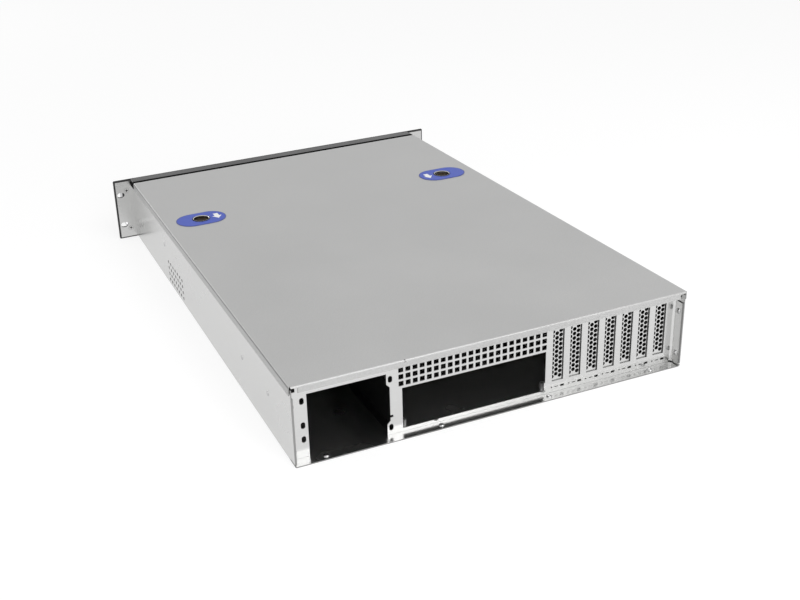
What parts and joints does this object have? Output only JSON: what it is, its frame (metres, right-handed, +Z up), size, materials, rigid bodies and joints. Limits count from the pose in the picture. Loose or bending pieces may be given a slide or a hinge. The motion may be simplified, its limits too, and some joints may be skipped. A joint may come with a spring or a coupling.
{
  "type": "empty rackmount server case",
  "caption": "Low, deep rackmount computer case with a sliding top cover, rack ears, perforated card slot covers and open bays for a power supply and a main board.",
  "frame": {"origin": "middle of the bounding box's bottom, on the floor's underside", "axes": "+Z up, +Y towards the case's rear, +X across it on the power supply's side"},
  "size_m": [0.4826, 0.6856, 0.0879],
  "materials": {
    "chassis_steel": "bright plated sheet",
    "panel_steel": "bright plated sheet",
    "cover_paint": "matt grey sheet",
    "front_black": "satin black",
    "inner_steel": "plain galvanised sheet",
    "ear_steel": "satin plated plate",
    "handle_metal": "satin",
    "screw_steel": "zinc plated",
    "rivet_steel": "bright",
    "pad_blue": "satin blue",
    "arrow_white": "white",
    "ring_chrome": "bright",
    "button_bronze": "dark bronze",
    "spring_steel": "spring steel",
    "standoff_steel": "bright nickel plated",
    "control_plastic": "matt black",
    "button_black": "satin black",
    "light_clear": "frosted clear"
  },
  "bodies": {
    "chassis": {"chassis_tray": "chassis_steel", "control_module": "control_plastic", "drive_cage": "inner_steel", "ear_bracket_left": "ear_steel", "ear_bracket_right": "ear_steel", "fan_wall": "inner_steel", "floor_rivets": "rivet_steel", "front_panel": "front_black", "handle_left": "handle_metal", "handle_right": "handle_metal", "handle_screws": "screw_steel", "latch_spring_left": "spring_steel", "latch_spring_right": "spring_steel", "power_bay_guide": "inner_steel", "power_bay_rail": "inner_steel", "rear_panel": "panel_steel", "side_rivets": "rivet_steel", "slot_cover_1": "panel_steel", "slot_cover_2": "panel_steel", "slot_cover_3": "panel_steel", "slot_cover_4": "panel_steel", "slot_cover_5": "panel_steel", "slot_cover_6": "panel_steel", "slot_cover_7": "panel_steel", "slot_cover_screws": "screw_steel", "standoffs": "standoff_steel", "status_lights": "light_clear"},
    "cover": {"latch_arrows": "arrow_white", "latch_pad_left": "pad_blue", "latch_pad_right": "pad_blue", "latch_ring_left": "ring_chrome", "latch_ring_right": "ring_chrome", "top_cover": "cover_paint"},
    "latch_left": {"latch_button_left": "button_bronze", "latch_clip_left": "spring_steel"},
    "latch_right": {"latch_button_right": "button_bronze", "latch_clip_right": "spring_steel"},
    "power": {"power_button": "button_black"},
    "reset": {"reset_button": "button_black"}
  },
  "joints": [
    {"name": "cover_slide", "type": "slide", "parent": "chassis", "child": "cover", "axis": [0, 1, 0], "range_m": [0, 0.014]},
    {"name": "latch_press_left", "type": "slide", "parent": "chassis", "child": "latch_left", "axis": [0, 0, -1], "range_m": [0, 0.0022], "stiffness_N_per_m": 900, "springref_m": -0.003},
    {"name": "latch_press_right", "type": "slide", "parent": "chassis", "child": "latch_right", "axis": [0, 0, -1], "range_m": [0, 0.0022], "stiffness_N_per_m": 900, "springref_m": -0.003},
    {"name": "power_press", "type": "slide", "parent": "chassis", "child": "power", "axis": [0, 1, 0], "range_m": [0, 0.0015], "stiffness_N_per_m": 700, "springref_m": -0.002},
    {"name": "reset_press", "type": "slide", "parent": "chassis", "child": "reset", "axis": [0, 1, 0], "range_m": [0, 0.0015], "stiffness_N_per_m": 700, "springref_m": -0.002}
  ]
}
